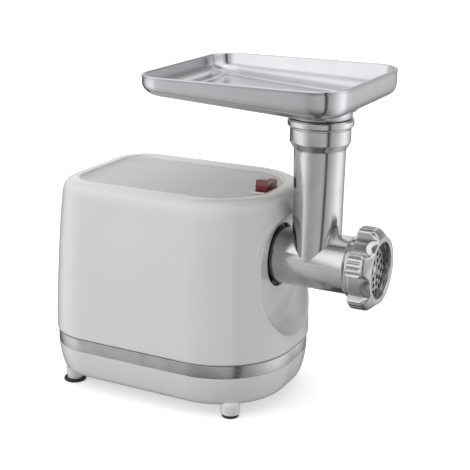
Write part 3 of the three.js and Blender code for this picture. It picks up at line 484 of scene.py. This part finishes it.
def make_pan():
    ctrl = [(52.4, 1.4), (41.5, 1.4), (41.0, 0.9), (40.6, 0.3), (40.0, 0.05), (36, 0.45), (30, 1.3), (23, 2.8), (17.5, 4.5), (14.2, 6.3), (12.4, 8.3), (11.7, 11.0), (11.7, 16)]
    prof = resample(catmull(ctrl, 8), lambda p: 0.9)
    rr = [[(*off(p, max(ins, 0.0)), z) for p in PLAN_C] for z, ins in prof]
    inner = [(11.7 + 2.6, 16), (14.3, 12), (19, 6.8), (28, 4.3), (41, 3.4), (52.4, 3.4)]
    rr2 = [[(*off(p, ins), z) for p in PLAN_C] for z, ins in resample(inner, lambda p: 4)]
    # bottom and inner floor
    verts, n = [], len(PLAN_C)
    allr = [rr[0]] + rr[1:]
    o = None
    def to_centre(ring, rev=False):
        out = []
        for s in (0.3, 0.65, 1.0):
            out.append([(x + (min(max(x, -60), 40) - x) * s, y * (1 - s), z) for x, y, z in ring])
        return out
    seq = [r for r in to_centre(rr2[0])[::-1]] + rr2 + rr + to_centre(rr[-1])
    o = rings("pan", seq, angle=40)
    cut = []
    for i in range(5):
        cut.append(boxy("c", -58 + i * 12, -54 + i * 12, -28, 28, 8, 18))
    for x, y in ((-88, 57), (-88, -57), (90, 44), (90, -44)):
        cut.append(turn("c", [(10, 0), (10, 4.4), (16, 4.4), (16, 0)], "z", (x, y), 32))
    boolean(o, join("cuts", cut))
    parts = [o]
    for s in (1, -1):
        # front legs blend up the side of the pan
        prof = fillet([(3.2, 0), (3.2, 8.9), (12.6, 8.9), (15.5, 6.9), (15.5, 0)], [0, 0.8, 2, 1, 0], 6)
        parts.append(turn("leg", prof, "z", (79.5, 62 * s), 64))
        prof = fillet([(2.35, 0), (2.35, 7.4), (13.0, 8.4), (13.0, 0)], [0, 0.4, 0, 0], 5)
        parts.append(turn("leg", prof, "z", (-91, 62 * s), 64))
    for x, y in ((-88, 57), (-88, -57), (90, 44), (90, -44)):
        parts.append(turn("well", [(11.75, 4.4), (34, 4.4), (34, 2.4), (36, 2.4)], "z", (x, y), 32))
    o = join("pan_body", parts, 40)
    return piece(o, WHITE, "housing", "housing_plastic", "base_pan")


def make_feet():
    for s, side in ((1, "left"), (-1, "right")):
        p = fillet([(0, 0), (0, 7.8), (3.1, 7.8), (3.1, 0)], [0, 0.9, 0.5, 0], 4)
        piece(turn(f"pad_front_{side}", p, "z", (79.5, 62 * s), 64), RUBBER, "housing", "rubber", f"foot_pad_front_{side}")
        p = fillet([(0, 0), (0, 10.8), (2.3, 10.8), (2.3, 0)], [0, 0.7, 0.7, 0], 5)
        piece(turn(f"pad_rear_{side}", p, "z", (-91, 62 * s), 64), RUBBER, "housing", "rubber", f"foot_pad_rear_{side}")


make_housing(); make_band(); make_pan(); make_feet()


# ------------------------------------------------------------------ the switch
def rounded_box_outline(x0, x1, hy, r, n=6):
    out = []
    for cx, cy, a0 in ((x1 - r, hy - r, 0), (x0 + r, hy - r, 90), (x0 + r, -hy + r, 180), (x1 - r, -hy + r, 270)):
        for i in range(n + 1):
            t = (a0 + 90 * i / n) * DEG
            out.append((cx + r * math.cos(t), cy + r * math.sin(t), math.cos(t), math.sin(t)))
    return out


def make_switch():
    SX, SZ = 82.0, 199.5
    o1 = rounded_box_outline(SX - 8.1, SX + 8.1, 15.2, 2.6)
    o2 = rounded_box_outline(SX - 5.9, SX + 5.9, 13.1, 1.0)
    prof = fillet([(198.9, 0), (200.4, 0.15), (200.4, 2.0)], [0, 0.6, 0], 6)
    rr = [[(p[0] - p[2] * i, p[1] - p[3] * i, z) for p in o1] for z, i in prof]
    rr[-1] = [(p[0] + p[2] * 0.25, p[1] + p[3] * 0.25, 200.4) for p in o2]
    rr += [[(p[0], p[1], z) for p in o2] for z in (200.1, 198.5, 196)]
    o = rings("switch_frame", rr, angle=40)
    piece(o, BEZEL, "housing", "bezel_plastic", "switch_bezel")
    # rocker: crowned, rounded on every edge, tilted about its pivot
    prof = [(-12, 9.3), (-1.6, 10.95), (0, 11.1), (1.6, 10.95), (12, 9.3)]
    outline = [(12.2, 4), (11, -2), (5, -7.4), (-5, -7.4), (-11, -2), (-12.2, 4)]
    pts = fillet(prof + outline, [1.3, 3, 6, 3, 1.3, 0.6, 2, 2, 2, 2, 0.6], 5, closed=True)
    t = -9 * DEG
    cy = 0.0; cz = 1.0
    rr = []
    for x, s in ((-5.4, 0.945), (-5.33, 0.965), (-5.1, 0.98), (-4.7, 0.993), (-4.1, 1.0), (0, 1.002), (4.1, 1.0), (4.7, 0.993), (5.1, 0.98), (5.33, 0.965), (5.4, 0.945)):
        ring = []
        for y, z in pts:
            y2 = cy + (y - cy) * s; z2 = cz + (z - cz) * s
            ring.append((SX + x, y2 * math.cos(t) - z2 * math.sin(t), SZ + y2 * math.sin(t) + z2 * math.cos(t)))
        rr.append(ring)
    o = rings("rocker", rr, cap=(True, True), angle=50)
    piece(o, RED, "rocker", "switch_red", "switch_rocker")


make_switch()


# ---------------------------------------------------------------- mincing head
def make_tube():
    out = fillet([(86, 0), (86, 25.8), (167, 25.8), (170.6, 28.9), (187, 28.9), (187, 0)], [0, 0.8, 1.5, 0.6, 0.5, 0], 4)
    barrel = turn("barrel", out, "x", (0, ZB), 128)
    rows = catmull([(ZB, 21.4, 25.45), (150, 21.5, 25.25), (160, 21.65, 24.75), (175, 21.85, 23.95), (200, 22.2, 23.2), (225, 22.55, 22.85), (241, 22.85, 22.85)], 5)[:-1]
    rows += [(z, r, r) for z, r in fillet(
        [(241, 22.85), (244, 23.0), (250.2, 26.7), (262.3, 26.7), (262.7, 26.0), (263.7, 26.0), (264.0, 28.2), (265.4, 29.0), (269.6, 29.0), (271, 28.0), (271, 27.0)],
        [0, 3.5, 3.0, 0.25, 0.15, 0.15, 0.3, 1.0, 1.0, 0.3, 0], 5)]
    neck = rings("neck", [[(XN + a * math.cos(2 * math.pi * i / 128), b * math.sin(2 * math.pi * i / 128), z) for i in range(128)] for z, a, b in rows], cap=(True, True))
    tube = boolean(barrel, neck, "UNION")
    cuts = [turn("c", [(80, 0), (80, 22), (99, 22), (99, 0)], "x", (0, ZB), 64),
            turn("c", [(90, 0), (90, 9.3), (110, 9.3), (110, 0)], "x", (0, ZB), 48),
            turn("c", [(103, 0), (103, 22.4), (176.5, 22.4), (176.5, 27.2), (190, 27.2), (190, 0)], "x", (0, ZB), 96)]
    nb = turn("c", fillet([(ZB, 0), (ZB, 18.6), (247.5, 18.6), (251.5, 24.0), (269.6, 24.0), (272, 26.4), (275, 26.4), (275, 0)], [0, 0, 2, 1, 0, 0, 0, 0], 4), "z", (XN, 0), 96)
    boolean(tube, cuts[0]); boolean(tube, cuts[1]); boolean(tube, cuts[2]); boolean(tube, nb)
    smooth_edges(tube.data, 32)
    return piece(tube, CAST, "head", "cast_aluminium", "mincer_tube")


def make_nut():
    LOBE0 = 1.5
    n = 420
    def r_out(th, x):
        # th in degrees from +Z towards +Y
        base = 31.2
        d = (th - LOBE0 + 36) % 72 - 36
        # lobe cross-section: flat crown with rounded shoulders
        hw = 18.3
        e = abs(d)
        lobe = 37.9 - 0.010 * d * d * 0.25
        # three shallow grooves along the crown
        if x < 189.5:
            for g in (-12.0, -4.0, 4.0, 12.0):
                lobe -= 1.3 * min(1.0, (189.5 - x) / 3.0) * math.exp(-((d - g) / 1.7) ** 2)
        side = 31.2 + (hw - e) * 2.6
        r = smin(lobe, side, 2.6)
        r = max(r, base) if r < base + 0.01 else r
        r = -smin(-r, -base, 1.2)
        # rear edge rounding and domed front
        if x < 176.2:
            r -= 1.5 * (1 - math.sqrt(max(0, 1 - ((176.2 - x) / 1.9) ** 2))) * (1 if r > 33 else 0.5)
        f = 37.9 - 8.9 * max(0.0, (x - 184.5) / 11.0) ** 2.4
        r = smin(r, f, 1.2)
        # broad scoops between the lobes; neighbours leave a pointed nose on each lobe
        b = d - 36 if d > 0 else d + 36
        w = (195.5 - x) / 13.0
        rc, tr, rr_ = 38.9, 21.5, 9.6
        if w < 1 and abs(b) < 34:
            k = 1 - w * w
            sb, cb = math.sin(b * DEG), math.cos(b * DEG)
            # first crossing of the ray with the ellipsoid of half-widths tr, rr_
            A = (sb / tr) ** 2 + (cb / rr_) ** 2; B = -2 * cb * rc / rr_ ** 2; C = (rc / rr_) ** 2 - k
            disc = B * B - 4 * A * C
            if disc > 0:
                r = smin(r, (-B - math.sqrt(disc)) / (2 * A), 0.7)
        return r
    xs = [174.3 + 0.0, 174.35, 174.5, 174.8, 175.2, 175.7, 176.3] + [177 + i * 0.62 for i in range(28)] + [194.6, 195.0, 195.3]
    rr = []
    def ring(f):
        out = []
        for i in range(n):
            th = 360 * i / n
            x, r = f(th)
            t = (90 - th) * DEG
            out.append((x, r * math.cos(t), ZB + r * math.sin(t)))
        return out
    rr.append(ring(lambda th: (189.8, 29.3)))
    rr.append(ring(lambda th: (175.2, 29.3)))
    rr.append(ring(lambda th: (174.5, 29.7)))
    for x in xs:
        rr.append(ring(lambda th, x=x: (x, max(r_out(th, x), 29.9))))
    # front lip: rounds over to the opening
    for k, (x, w) in enumerate(((195.48, 0.12), (195.5, 0.3), (195.5, 0.6), (195.35, 0.85), (195.0, 0.96), (194.4, 1.0))):
        rr.append(ring(lambda th, x=x, w=w: (x, max(r_out(th, 195.3), 28.6) * (1 - w) + 24.9 * w)))
    rr.append(ring(lambda th: (191.2, 24.6)))
    rr.append(ring(lambda th: (189.8, 25.0)))
    o = rings("nut_body", rr, loop=True, angle=42)
    return piece(o, NUT, "nut", "cast_aluminium", "ring_nut")


def make_screw():
    L, turns, steps, n = 71.0, 2.8, 170, 40
    rr = []
    for k in range(steps + 1):
        z = L * k / steps
        a0 = -2 * math.pi * turns * z / L
        ring = []
        for i in range(n):
            a = 360 * i / n; d = min(a, 360 - a)
            t = 1 if d < 24 else (0.5 + 0.5 * math.cos((d - 24) / 56 * math.pi) if d < 80 else 0)
            r = 8.6 + 13.0 * t
            c = a * DEG + a0
            ring.append((105 + z, r * math.cos(c), ZB + r * math.sin(c)))
        rr.append(ring)
    o = rings("screw_thread", rr, cap=(True, True), angle=50)
    a = turn("screw_journal", fillet([(98.6, 0), (98.6, 7), (105.5, 7), (105.5, 0)], [0, 0.6, 0, 0], 3), "x", (0, ZB), 48)
    b = boxy("t", 89, 99, -5.1, 5.1, ZB - 5.1, ZB + 5.1, 0.6)
    c = boxy("t", 175, 184, -4.6, 4.6, ZB - 4.6, ZB + 4.6, 0.4)
    d = turn("p", fillet([(183, 0), (183, 4), (189.5, 4), (189.5, 0)], [0, 0, 0.7, 0], 3), "x", (0, ZB), 32)
    o = join("feed_worm", [o, a, b, c, d], 45)
    piece(o, CAST, "drive", "cast_aluminium", "feed_screw")


def make_plate():
    p = fillet([(184.6, 4.4), (184.6, 26.9), (189.5, 26.9), (189.5, 4.4)], [0, 0.4, 0.4, 0.0], 3, closed=True)
    o = turn("perforated_plate", p, "x", (0, ZB), 96, loop=True)
    cut = []
    for r, k, f in ((8.7, 6, 0), (14.5, 12, 0.5), (20.6, 18, 0)):
        for i in range(k):
            a = 2 * math.pi * (i + f) / k
            cut.append(turn("c", [(180, 0), (180, 2.35), (195, 2.35), (195, 0)], "x", (r * math.cos(a), ZB + r * math.sin(a)), 20))
    boolean(o, join("cuts", cut)); smooth_edges(o.data, 40)
    piece(o, TOOL, "head", "tool_steel", "cutting_plate")


def make_tray():
    X0, X1, HYT, RFT, RRT, ZR = -9.0, 180.0, 84.0, 27.0, 25.0, 308.5
    base = []
    def arc(cx, cy, r, a0, n=14):
        for i in range(n + 1):
            t = (a0 + 90 * i / n) * DEG
            base.append((cx + r * math.cos(t), cy + r * math.sin(t), math.cos(t), math.sin(t)))
    def line(p, q, k, nx, ny):
        for i in range(1, k):
            base.append((p[0] + (q[0] - p[0]) * i / k, p[1] + (q[1] - p[1]) * i / k, nx, ny))
    arc(X1 - RFT, HYT - RFT, RFT, 0)
    line((X1 - RFT, HYT), (X0 + RRT, HYT), 14, 0, 1)
    arc(X0 + RRT, HYT - RRT, RRT, 90)
    line((X0, HYT - RRT), (X0, -HYT + RRT), 12, -1, 0)
    arc(X0 + RRT, -HYT + RRT, RRT, 180)
    line((X0 + RRT, -HYT), (X1 - RFT, -HYT), 14, 0, -1)
    arc(X1 - RFT, -HYT + RFT, RFT, 270)
    line((X1, -HYT + RFT), (X1, HYT - RFT), 12, 1, 0)
    n = len(base)
    depth = lambda x: 17.5 + (x + 9) / 189 * 13
    def ring(t, ins, dz=0.0):
        out = []
        for p in base:
            k = 1 + 0.75 * max(0.0, min(1.0, (p[0] + 9) / 189)) * max(0.0, min(1.0, (ins - 2.6) / 4 + 0.5)) if ins > 0.9 and t > 0 else 1.0
            i2 = ins * k
            if i2 > 17.0:
                i2 = 17.0 + 6.5 * math.tanh((i2 - 17.0) / 12.0)
            x, y = p[0] - p[2] * i2, p[1] - p[3] * i2
            out.append((x, y, ZR - t * depth(x) + dz))
        return out
    # outside, from the floor up to the rolled rim
    outer = resample(catmull([(1.0, 34), (1.0, 22), (0.995, 16.5), (0.965, 11.3), (0.89, 7.1), (0.77, 3.8), (0.62, 1.6), (0.45, 0.55), (0.28, 0.45), (0.16, 0.6)], 8), lambda p: 0.9 if p[1] > 3 else 0.4)
    seq = [ring(t, i) for t, i in outer]
    # rolled rim: a bead 2.6 mm high
    for dz, i in ((-2.3, 0.42), (-1.7, 0.12), (-1.0, 0.0), (-0.45, 0.1), (-0.1, 0.55), (0.0, 1.1), (-0.1, 1.65), (-0.45, 2.1), (-1.0, 2.35)):
        seq.append(ring(0, i, dz))
    inner = resample(catmull([(0.13, 2.6), (0.25, 2.75), (0.42, 3.3), (0.58, 4.6), (0.72, 6.9), (0.82, 9.8), (0.88, 13.2), (0.905, 17.5), (0.915, 21.0), (0.922, 22.4), (0.945, 23.6), (0.955, 26), (0.955, 34)], 8), lambda p: 0.8)
    seq += [ring(t, i) for t, i in inner]
    # floor, drawn in to the round throat
    def to_hole(ring_, steps, r, dz=0.0):
        out = []
        for s in steps:
            cur = []
            for (x, y, z) in ring_:
                a = math.atan2(y, x - XN)
                hx, hy_ = XN + r * math.cos(a), r * math.sin(a)
                nx, ny = x + (hx - x) * s, y + (hy_ - y) * s
                frac = 1.0
                cur.append((nx, ny, ZR - (z_t * depth(nx))))
            out.append(cur)
        return out
    z_t = 0.955
    seq += to_hole(seq[-1], (0.15, 0.3, 0.45, 0.6, 0.75, 0.88, 0.96), 20.4)
    last = seq[-1]
    def circ(r, z):
        return [(XN + r * math.cos(math.atan2(p[1], p[0] - XN)), r * math.sin(math.atan2(p[1], p[0] - XN)), z) for p in base]
    seq.append([(XN + 22.2 * math.cos(math.atan2(p[1], p[0] - XN)), 22.2 * math.sin(math.atan2(p[1], p[0] - XN)), ZR - z_t * depth(XN + 22.2 * math.cos(math.atan2(p[1], p[0] - XN))) - 0.1) for p in base])
    seq.append([(x, y, z - 0.7) for x, y, z in [(XN + 20.9 * math.cos(math.atan2(p[1], p[0] - XN)), 20.9 * math.sin(math.atan2(p[1], p[0] - XN)), ZR - z_t * depth(XN)) for p in base]])
    seq += [circ(20.4, z) for z in (279.5, 270, 260, 253.6)]
    seq += [circ(21.0, 253.0), circ(22.9, 253.0), circ(23.4, 253.6), circ(23.4, 271.3), circ(26.6, 271.4), circ(27.2, 272.0), circ(27.4, 276), circ(28.0, 279.0), circ(30.5, 281.0)]
    # underside back out to the start
    z_t = 1.0
    back = []
    under0 = ring(1.0, 34)
    for s in (0.97, 0.85, 0.7, 0.5, 0.3, 0.15):
        cur = []
        for (x, y, z) in under0:
            a = math.atan2(y, x - XN)
            hx, hy_ = XN + 32 * math.cos(a), 32 * math.sin(a)
            nx, ny = x + (hx - x) * s, y + (hy_ - y) * s
            cur.append((nx, ny, ZR - depth(nx)))
        back.append(cur)
    seq += back
    o = rings("dish", seq, loop=True, angle=50)
    return piece(o, POLISH, "feed_tray", "polished_aluminium", "tray")


make_tube(); make_nut(); make_screw(); make_plate(); make_tray()

# cord gland and release button
piece(turn("gland", fillet([(-118.2, 3.6), (-118.2, 8.2), (-116.3, 9.2), (-116.3, 6.0), (-112.3, 6.0), (-112.3, 8.0), (-109.5, 8.0), (-109.5, 3.6)],
                           [0.5, 1.2, 0.2, 0.2, 0.2, 0.2, 0.2, 0.2], 3, closed=True), "x", (26, 68), 48, loop=True), RUBBER, "housing", "rubber", "cord_gland")
piece(turn("button", fillet([(87, 0), (87, 2), (91.5, 2), (91.5, 6.6), (93.5, 6.6), (93.5, 5.4), (102.0, 5.4), (102.4, 0)], [0, 0.2, 0.3, 0.3, 0.3, 0.2, 1.0, 0], 4), "x", (38, 139), 48),
      DARKPL, "release", "dark_plastic", "release_button")
# CAD nodes that stay: a thin bevel on their sharp edges
for n, o in frame["nodes"].items():
    if not o.hide_render:
        o.modifiers.new("edge", "BEVEL").width = 0.00012
        o.modifiers["edge"].segments = 1
        o.modifiers["edge"].limit_method = "ANGLE"; o.modifiers["edge"].angle_limit = 50 * DEG

# ------------------------------------------------------------------ the studio
floor = obj_from("floor", [(-14000, -14000, 0), (14000, -14000, 0), (14000, 14000, 0), (-14000, 14000, 0)], [(0, 1, 2, 3)])
fm = bpy.data.materials.new("floor"); nt, b = nodes_of(fm)
nt.links.new(mixcol(nt, noise(nt, 3, 3), (0.86, 0.86, 0.86), (0.88, 0.88, 0.88)), b.inputs["Base Color"])
b.inputs["Roughness"].default_value = 0.8
b.inputs["Emission Color"].default_value = (1, 1, 1, 1); b.inputs["Emission Strength"].default_value = 0.42
floor.data.materials.append(fm)
floor.visible_glossy = False
floor.visible_diffuse = False

w = bpy.data.worlds.new("studio"); bpy.context.scene.world = w; w.use_nodes = True
wt = w.node_tree; bg = wt.nodes["Background"]


def wm(op, *ins, clamp=False):
    n = wt.nodes.new("ShaderNodeMath"); n.operation = op; n.use_clamp = clamp
    for k, v in enumerate(ins):
        if isinstance(v, (int, float)):
            n.inputs[k].default_value = v
        else:
            wt.links.new(v, n.inputs[k])
    return n.outputs[0]


def step(v, a, b_, hi=1.0, lo=0.0):
    n = wt.nodes.new("ShaderNodeMapRange"); n.interpolation_type = "SMOOTHSTEP"
    wt.links.new(v, n.inputs[0])
    for k, x in ((1, a), (2, b_), (3, lo), (4, hi)):
        n.inputs[k].default_value = x
    return n.outputs[0]


def window(v, a, b_, soft):
    return wm("MULTIPLY", step(v, a - soft, a + soft), step(v, b_ - soft, b_ + soft, 0.0, 1.0))


tc = wt.nodes.new("ShaderNodeTexCoord"); sx = wt.nodes.new("ShaderNodeSeparateXYZ")
wt.links.new(tc.outputs["Generated"], sx.inputs[0])
dx, dy, dz = sx.outputs
az = wm("DIVIDE", wm("ARCTAN2", dx, wm("MULTIPLY", dy, -1.0)), DEG)
el = wm("DIVIDE", wm("ARCSINE", dz), DEG)

# band of the surroundings near and below the horizon, by azimuth (0 = -Y, 90 = +X)
LOW = [(-180, .34), (-150, .18), (-122, .10), (-106, .30), (-94, .72), (-82, 1.05), (-68, 1.2), (-50, 1.2), (-38, .88), (-26, .60), (-12, .46), (10, .50), (30, .58), (46.5, .60),
       (49, .05), (58, .05), (60.5, .50), (75, .60), (95, .92), (112, 1.25), (126, 1.4), (138, 1.2), (155, .85), (170, .48), (180, .34)]
cr = wt.nodes.new("ShaderNodeValToRGB")
els = cr.color_ramp.elements
while len(els) > 1:
    els.remove(els[-1])
els[0].position = 0.0; els[0].color = (LOW[0][1] / 1.4,) * 3 + (1,)
for a_, v_ in LOW[1:]:
    q_ = els.new((a_ + 180) / 360); q_.color = (v_ / 1.4,) * 3 + (1,)
wt.links.new(wm("DIVIDE", wm("ADD", az, 180.0), 360.0), cr.inputs[0])
low = wm("MULTIPLY", cr.outputs[0], 1.4)
fall = wt.nodes.new("ShaderNodeMapRange"); wt.links.new(el, fall.inputs[0])
for k_, x_ in ((1, -64.0), (2, -20.0), (3, 0.26), (4, 1.0)):
    fall.inputs[k_].default_value = x_
low = wm("MULTIPLY", low, fall.outputs[0])
high = wm("ADD", wm("MULTIPLY", window(az, -80, 25, 14), wm("MULTIPLY", window(el, 2, 50, 12), 0.62)), 0.66)
high = wm("ADD", high, wm("MULTIPLY", window(az, 74, 140, 10), wm("MULTIPLY", window(el, 14, 70, 8), 0.5)))
high = wm("SUBTRACT", high, wm("MULTIPLY", window(az, 126, 172, 14), wm("MULTIPLY", window(el, 4, 60, 14), 0.36)))
high = wm("ADD", high, step(el, 52, 74, 0.62))
high = wm("ADD", high, wm("MULTIPLY", window(az, -178, -128, 10), wm("MULTIPLY", window(el, 8, 44, 6), 0.30)))
high = wm("MULTIPLY", high, wm("SUBTRACT", 1.0, wm("MULTIPLY", wm("MULTIPLY", window(az, 47.0, 60.0, 1.4), window(el, -30, 52, 4)), 0.93)))
upw = step(el, -9, 6)
sky = wm("ADD", wm("MULTIPLY", low, wm("SUBTRACT", 1.0, upw)), wm("MULTIPLY", high, upw))
wt.links.new(sky, bg.inputs[0]); bg.inputs[1].default_value = 1.0


def area(name, pos, target, size, power, size_y=None, col=(1, 1, 1)):
    l = bpy.data.lights.new(name, "AREA"); l.energy = power; l.shape = "RECTANGLE"; l.size = size; l.size_y = size_y or size; l.color = col
    o = bpy.data.objects.new(name, l); bpy.context.scene.collection.objects.link(o)
    o.location = pos
    o.rotation_euler = (Vector(target) - Vector(pos)).to_track_quat("-Z", "Y").to_euler()
    return o


area("key", (-0.9, -1.3, 1.1), (0, 0, 0.12), 0.7, 3.0)
bpy.data.objects["key"].visible_glossy = False


def card(name, c, u, v, grey=0.02):
    """Dark studio card: seen only in reflections."""
    c, u, v = Vector(c), Vector(u), Vector(v)
    pts = [(c - u - v), (c + u - v), (c + u + v), (c - u + v)]
    me = bpy.data.meshes.new(name); me.from_pydata([tuple(p) for p in pts], [], [(0, 1, 2, 3)])
    o = bpy.data.objects.new(name, me); bpy.context.scene.collection.objects.link(o)
    m = bpy.data.materials.new(name); nt, b = nodes_of(m)
    nt.links.new(mixcol(nt, noise(nt, 5, 2), (grey, grey, grey), (grey * 1.2, grey * 1.2, grey * 1.2)), b.inputs["Base Color"])
    b.inputs["Roughness"].default_value = 0.9
    me.materials.append(m)
    o.visible_camera = False; o.visible_shadow = False; o.visible_diffuse = False
    return o


# ------------------------------------------------------------------- the camera
AZ, EL, DIST, F = 28.98, 16.81, 1094.81, 1148.22
CX, CY = 186.99, 229.32
cam = bpy.data.cameras.new("camera"); co = bpy.data.objects.new("camera", cam)
bpy.context.scene.collection.objects.link(co); bpy.context.scene.camera = co
a, e = AZ * DEG, EL * DEG
back = Vector((math.sin(a) * math.cos(e), -math.cos(a) * math.cos(e), math.sin(e)))
target = Vector(V((0, 0, 149.82)))
co.location = target + back * DIST / 1000
right = Vector((math.cos(a), math.sin(a), 0)); up = back.cross(right)
co.matrix_world = Matrix.Translation(co.location) @ Matrix((right, up, back)).transposed().to_4x4()
cam.sensor_width = 36; cam.lens = F * 36 / 470
cam.shift_x = (235 - CX) / 470; cam.shift_y = (CY - 235) / 470
cam.clip_start = 0.05

bpy.context.scene.view_settings.view_transform = "Standard"
bpy.context.scene.view_settings.look = "None"
bpy.context.scene.view_settings.exposure = 0.0

bpy.context.view_layer.update()
